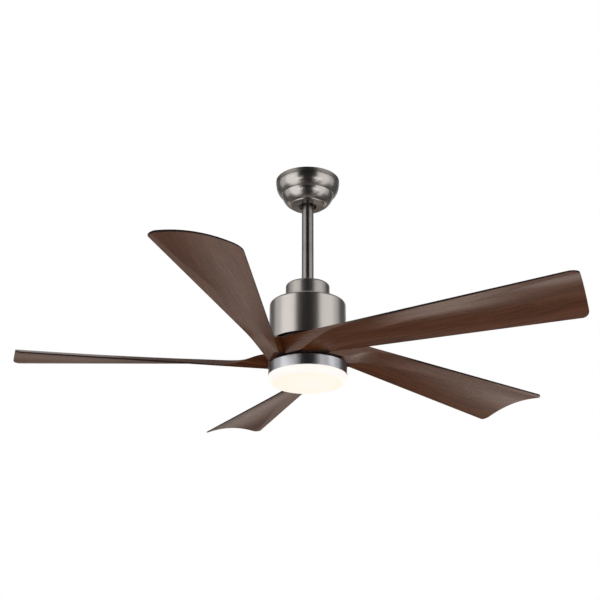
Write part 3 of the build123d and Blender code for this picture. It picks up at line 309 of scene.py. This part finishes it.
def turned(tree, vector, turn):
    """A vector turned about Z."""
    made = add(tree, "ShaderNodeMapping", {"Vector": vector, "Rotation": (0.0, 0.0, radians(turn))})
    return made.outputs["Vector"]


def stretched(tree, vector, stretch):
    """A vector scaled along each axis."""
    return add(tree, "ShaderNodeMapping", {"Vector": vector, "Scale": stretch}).outputs["Vector"]


def place(tree, stretch=(1.0, 1.0, 1.0), turn=0.0):
    """Places in the object's frame, turned about Z and then stretched."""
    return stretched(tree, turned(tree, spot(tree), turn), stretch)


def height_of(tree):
    """Height in the object's frame."""
    return add(tree, "ShaderNodeSeparateXYZ", {"Vector": spot(tree)}).outputs["Z"]


def radius_of(tree):
    """Distance from the fan's axis."""
    flat = add(tree, "ShaderNodeVectorMath", {0: spot(tree), 1: (1.0, 1.0, 0.0)}, operation="MULTIPLY")
    length = add(tree, "ShaderNodeVectorMath", {0: flat.outputs["Vector"]}, operation="LENGTH")
    return length.outputs["Value"]


# Finishes

def turned_lines(tree, fine):
    """Lines round the fan's axis: noise along the profile, which is height less radius."""
    along = calc(tree, "SUBTRACT", height_of(tree), radius_of(tree))
    lines = add(tree, "ShaderNodeTexNoise", {"W": along, "Scale": fine, "Detail": 4.0},
                noise_dimensions="1D")
    return lines.outputs["Fac"]


def brushed(name, colour, roughness, fine=900.0, streak=0.12, stretch=0.4, foot=None):
    """Metal brushed round the fan's axis, with faint clouds, and painted shade inside the radius of a
    foot.
    """
    material, tree, shader = new_material(name)
    lines = turned_lines(tree, fine)
    cloud = noise(tree, place(tree), CLOUD_SCALE)
    broken = noise(tree, place(tree, BROKEN_STRETCH), detail=2.0)
    grain = remap(tree, calc(tree, "ADD", lines, broken), low=-0.5, high=0.5)
    tint = shades(tree, calc(tree, "ADD", grain, cloud), colour, BRUSHED_STEPS)
    # painted shade: darker inside the radius of the canopy's foot
    if foot:
        inside = remap(tree, radius_of(tree), start=foot, end=foot * FOOT_FADE)
        tint = mix(tree, inside, tint, scaled(colour, FOOT_SHADE))
    round_axis = add(tree, "ShaderNodeTangent", direction_type="RADIAL", axis="Z")
    dress(tree, shader, Base_Color=tint, Metallic=1.0,
          Anisotropic=stretch, Anisotropic_Rotation=QUARTER_TURN,
          Roughness=uneven(tree, lines, roughness, BRUSHED_SPREAD),
          Normal=bump(tree, grain, streak, LINE_DEPTH),
          Tangent=round_axis.outputs["Tangent"])
    return material


def drawn(name, colour, roughness):
    """Drawn tube: streaks along its length, faint clouds."""
    material, tree, shader = new_material(name)
    lines = noise(tree, place(tree, DRAWN_STRETCH))
    cloud = noise(tree, place(tree), CLOUD_SCALE)
    tint = shades(tree, calc(tree, "ADD", lines, cloud), colour, DRAWN_STEPS)
    dress(tree, shader, Base_Color=tint, Metallic=1.0,
          Roughness=uneven(tree, lines, roughness, DRAWN_SPREAD),
          Normal=bump(tree, lines, strength=0.1, distance=LINE_DEPTH))
    return material


def walnut(name, turn):
    """Dark walnut film: fine grain along the blade, a satin gloss, dark thin edges, and painted shade
    under the roots.
    """
    material, tree, shader = new_material(name)
    wavy = swaying(tree, turn)
    grain = noise(tree, stretched(tree, wavy, GRAIN_STRETCH), detail=4.0, roughness=0.6)
    pores = noise(tree, stretched(tree, wavy, PORE_STRETCH), detail=2.0)
    broad = noise(tree, stretched(tree, wavy, BROAD_STRETCH), detail=2.0)
    figure = calc(tree, "MULTIPLY_ADD", grain, GRAIN_SHARE, calc(tree, "MULTIPLY", pores, PORE_SHARE))
    figure = calc(tree, "MULTIPLY_ADD", broad, BROAD_SHARE, figure)
    # the dark edges and the painted shade under the roots share one colour and one added roughness
    edge_and_shade = calc(tree, "MAXIMUM", thin_edges(tree, turn), painted_root_shade(tree))
    tint = mix(tree, edge_and_shade, ramp(tree, figure, WALNUT_TONES), EDGE_AND_SHADE_COLOUR)
    film = remap(tree, grain, low=FILM_DARK, high=FILM_PALE)
    dull = remap(tree, radius_of(tree), start=DULL_FROM, end=DULL_FULL, high=DULL_TIP)
    gloss = calc(tree, "ADD", calc(tree, "MULTIPLY_ADD", edge_and_shade, EDGE_AND_SHADE_DULL, film), dull)
    dress(tree, shader, Base_Color=tint, Roughness=gloss, Specular_IOR_Level=0.5,
          Normal=bump(tree, figure, strength=0.25, distance=0.0001))
    return material


def swaying(tree, turn):
    """Places along a blade, pushed sideways a little so that the grain isn't straight."""
    sway = noise(tree, place(tree, SWAY_STRETCH, turn), detail=2.0)
    shift = add(tree, "ShaderNodeVectorMath", {0: SWAY_SHIFT, "Scale": sway}, operation="SCALE")
    pushed = add(tree, "ShaderNodeVectorMath",
                 {0: place(tree, turn=turn), 1: shift.outputs["Vector"]}, operation="ADD")
    return pushed.outputs["Vector"]


def thin_edges(tree, turn):
    """One on the long edges and the tip of a blade's thin part, nought elsewhere."""
    outer = remap(tree, radius_of(tree), start=EDGE_FROM, end=EDGE_FULL)
    normal = add(tree, "ShaderNodeTexCoord").outputs["Normal"]
    facing = add(tree, "ShaderNodeSeparateXYZ", {"Vector": turned(tree, normal, turn)}).outputs
    sideways = calc(tree, "MAXIMUM", facing["X"], calc(tree, "ABSOLUTE", facing["Y"]))
    upright = remap(tree, sideways, start=EDGE_TURN_FROM, end=EDGE_TURN_FULL)
    return calc(tree, "MULTIPLY", outer, upright)


def painted_root_shade(tree):
    """Painted shade: one on the underside of a blade's root just above the light band, nought
    elsewhere.
    """
    band_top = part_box("light_band")[1]
    reach = band_top.x + RING_OUT
    inside = remap(tree, radius_of(tree), start=reach, end=reach - RING_FADE)
    below = calc(tree, "LESS_THAN", height_of(tree), band_top.z + RING_UP)
    return calc(tree, "MULTIPLY", inside, below)


def opal(name):
    """Lit opal acrylic: cream below, whiter on the side wall, a little brighter in the middle."""
    material, tree, shader = new_material(name)
    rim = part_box("diffuser")[1].x
    share = remap(tree, radius_of(tree), end=rim)
    cloud = noise(tree, place(tree), OPAL_CLOUD)
    mottled = calc(tree, "MULTIPLY_ADD", cloud, OPAL_CLOUD_SHARE, share)
    glow = ramp(tree, mottled, OPAL_TONES, "EASE")
    dress(tree, shader, Base_Color=opaque(OPAL_BODY), Roughness=0.35,
          Emission_Color=glow, Emission_Strength=1.0)
    return material


def metal(name, colour, roughness, scale=120.0):
    """Plated or cast metal with uneven gloss."""
    material, tree, shader = new_material(name)
    cloud = noise(tree, place(tree), scale, detail=5.0)
    dress(tree, shader, Base_Color=shades(tree, cloud, colour, METAL_STEPS), Metallic=1.0,
          Roughness=uneven(tree, cloud, roughness, METAL_SPREAD),
          Normal=bump(tree, cloud, strength=0.15, distance=0.0002))
    return material


def moulded(name, colour, roughness=0.45, scale=500.0):
    """Moulded plastic or rubber with a fine spark texture."""
    material, tree, shader = new_material(name)
    spark = noise(tree, place(tree), scale, detail=2.0)
    dress(tree, shader, Base_Color=shades(tree, spark, colour, MOULDED_STEPS),
          Roughness=uneven(tree, spark, roughness, MOULDED_SPREAD),
          Normal=bump(tree, spark, strength=0.2, distance=0.0001))
    return material


def stacked(name, colour):
    """Sheet laminations stacked along the fan's axis."""
    material, tree, shader = new_material(name)
    sheets = layers(tree, SHEET_SCALE, distortion=0.2)
    dress(tree, shader, Base_Color=shades(tree, sheets, colour, SHEET_STEPS), Metallic=0.9,
          Roughness=0.45, Normal=bump(tree, sheets, strength=0.4, distance=0.0002))
    return material


def wound(name, colour):
    """Enamelled wire side by side round each tooth."""
    material, tree, shader = new_material(name)
    turns = layers(tree, WIRE_SCALE, distortion=1.5)
    dress(tree, shader, Base_Color=shades(tree, turns, colour, WIRE_STEPS), Metallic=0.8,
          Roughness=0.3, Normal=bump(tree, turns, strength=0.6, distance=0.0003))
    return material


def lit_chips(name):
    """Lit phosphor of the light chips."""
    material, tree, shader = new_material(name)
    glow = ramp(tree, noise(tree, place(tree), CHIP_SCALE), CHIP_TONES)
    dress(tree, shader, Base_Color=glow, Roughness=0.25, Emission_Color=glow, Emission_Strength=0.6)
    return material


# Finishes by name: the function that makes each one, and what it is told
PEWTER = (0.55, 0.51, 0.478)
FINISHES = {
    "pewter": (brushed, dict(colour=PEWTER, roughness=0.32)),
    "pewter_bowl": (brushed, dict(colour=scaled(PEWTER, 0.9), roughness=0.28, foot=FOOT_R)),
    "pewter_dark": (brushed, dict(colour=scaled(PEWTER, 0.6), roughness=0.36)),
    "pewter_dull": (brushed, dict(colour=scaled(PEWTER, 0.8), roughness=0.36)),
    "pewter_tube": (drawn, dict(colour=scaled(PEWTER, 0.52), roughness=0.3)),
    "band_steel": (brushed, dict(colour=(0.575, 0.58, 0.61), roughness=0.34,
                                 fine=1600.0, streak=0.2, stretch=0.8)),
    "opal": (opal, {}),
    "zinc_steel": (metal, dict(colour=(0.58, 0.59, 0.6), roughness=0.3)),
    "green_screw": (metal, dict(colour=(0.05, 0.3, 0.09), roughness=0.35)),
    "black_plastic": (moulded, dict(colour=(0.02, 0.02, 0.022))),
    "white_plastic": (moulded, dict(colour=(0.75, 0.75, 0.72))),
    "wire_jacket": (moulded, dict(colour=(0.5, 0.5, 0.52), roughness=0.3)),
    "cast_metal": (metal, dict(colour=(0.45, 0.45, 0.46), roughness=0.5, scale=260.0)),
    "bearing_steel": (metal, dict(colour=(0.68, 0.68, 0.7), roughness=0.15)),
    "lamination": (stacked, dict(colour=(0.24, 0.24, 0.26))),
    "copper": (wound, dict(colour=(0.62, 0.26, 0.1))),
    "magnet": (moulded, dict(colour=(0.05, 0.05, 0.055), roughness=0.5)),
    "gasket_rubber": (moulded, dict(colour=(0.015, 0.015, 0.015), roughness=0.7)),
    "standoff_brass": (metal, dict(colour=(0.7, 0.48, 0.2), roughness=0.25)),
    "board_white": (moulded, dict(colour=(0.8, 0.8, 0.77), roughness=0.4)),
    "led_yellow": (lit_chips, {}),
}
MATERIALS = {name: make(name, **settings) for name, (make, settings) in FINISHES.items()}

# Pieces given darker copies of the drum's pewter
TONES = {
    "canopy": "pewter_bowl",
    "canopy_ring": "pewter_dark",
    "coupling_cover": "pewter_dull",
    "downrod": "pewter_tube",
}


def finish_of(node, slot):
    """The material of a node: a slot's own, or for a blade the film turned to its centre line."""
    if slot != "walnut":
        return MATERIALS[TONES.get(node, slot)]
    number = int(node.split("_")[1])
    return walnut(f"walnut_{number}", -(FIRST_BLADE_ANGLE + BLADE_STEP * (number - 1)))


for subpart in frame["record"]["subparts"]:
    piece = frame["nodes"][subpart["node"]]
    piece.data.materials.clear()
    piece.data.materials.append(finish_of(subpart["node"], subpart["material_slot"]))


# Studio

def mesh_object(name, points, faces):
    """A mesh in the scene."""
    mesh = bpy.data.meshes.new(name)
    mesh.from_pydata(points, [], faces)
    made = bpy.data.objects.new(name, mesh)
    bpy.context.scene.collection.objects.link(made)
    return made


def floor():
    """A pale floor, a little lighter to the camera, which gloss doesn't see."""
    half = FLOOR_SIZE / 2
    corners = [(-half, -half, FLOOR_Z), (half, -half, FLOOR_Z),
               (half, half, FLOOR_Z), (-half, half, FLOOR_Z)]
    made = mesh_object("floor", corners, [(0, 1, 2, 3)])
    material, tree, shader = new_material("pale_floor")
    tint = ramp(tree, noise(tree, place(tree), FLOOR_CLOUD), FLOOR_TONES)
    seen = add(tree, "ShaderNodeLightPath").outputs["Is Camera Ray"]
    dress(tree, shader, Base_Color=tint, Roughness=0.9, Specular_IOR_Level=0.1,
          Emission_Color=opaque(WHITE), Emission_Strength=calc(tree, "MULTIPLY", seen, FLOOR_LIFT))
    made.data.materials.append(material)
    made.visible_glossy = False


def card(name, radius, start, end, low, high, shade):
    """An upright curved card round the fan's axis, between two angles."""
    points = []
    for n in range(CARD_STEPS + 1):
        angle = radians(start + (end - start) * n / CARD_STEPS)
        x = radius * sin(angle)
        y = -radius * cos(angle)
        points += [(x, y, low), (x, y, high)]
    faces = [(2 * n, 2 * n + 2, 2 * n + 3, 2 * n + 1) for n in range(CARD_STEPS)]
    gloss_only(mesh_object(name, points, faces), shade)


def gloss_only(made, shade):
    """Gives a card its shade, and hides it from all but gloss."""
    material = bpy.data.materials.new(made.name)
    tree = bare_tree(material)
    tint = GLOW_TINT if made.name.endswith("glow") else WHITE
    light = add(tree, "ShaderNodeEmission", {"Color": opaque(scaled(tint, shade)), "Strength": 1.0})
    output = add(tree, "ShaderNodeOutputMaterial")
    tree.links.new(light.outputs["Emission"], output.inputs["Surface"])
    made.data.materials.append(material)
    made.visible_camera = False
    made.visible_diffuse = False
    made.visible_transmission = False
    made.visible_shadow = False


def softbox(name, start, end, low, high, radiance):
    """A flat soft box that faces the fan's axis, between two angles."""
    middle = radians((start + end) / 2)
    half = radians((end - start) / 2)
    data = bpy.data.lights.new(name, "AREA")
    data.shape = "RECTANGLE"
    data.size = 2 * BOX_R * tan(half)
    data.size_y = high - low
    data.energy = radiance * pi * data.size * data.size_y
    light = bpy.data.objects.new(name, data)
    light.location = (BOX_R * sin(middle), -BOX_R * cos(middle), (low + high) / 2)
    light.rotation_euler = (radians(LEVEL), 0.0, middle)
    bpy.context.scene.collection.objects.link(light)


def world():
    """White for what is seen directly, in gloss and through glass, and a soft grey fill elsewhere."""
    made = bpy.data.worlds.new("studio")
    tree = bare_tree(made)
    path = add(tree, "ShaderNodeLightPath").outputs
    seen = calc(tree, "MAXIMUM", path["Is Camera Ray"], path["Is Glossy Ray"])
    seen = calc(tree, "MAXIMUM", seen, path["Is Transmission Ray"])
    sky = add(tree, "ShaderNodeBackground",
              {"Color": opaque(WHITE), "Strength": remap(tree, seen, low=AMBIENT)})
    output = add(tree, "ShaderNodeOutputWorld")
    tree.links.new(sky.outputs["Background"], output.inputs["Surface"])
    bpy.context.scene.world = made


def camera():
    """The camera at the photo's viewing angle."""
    data = bpy.data.cameras.new("camera")
    data.lens = CAMERA_LENS
    data.sensor_width = CAMERA_SENSOR
    data.shift_x = CAMERA_SHIFT
    made = bpy.data.objects.new("camera", data)
    made.location = (0.0, -CAMERA_BACK, -CAMERA_DROP)
    made.rotation_euler = (radians(LEVEL + CAMERA_PITCH), 0.0, 0.0)
    bpy.context.scene.collection.objects.link(made)
    bpy.context.scene.camera = made


floor()
for card_name, sizes in CARDS.items():
    card(card_name, *sizes)
for box_name, settings in SOFTBOXES.items():
    softbox(box_name, *settings)
world()
camera()
bpy.context.scene.view_settings.view_transform = "Standard"
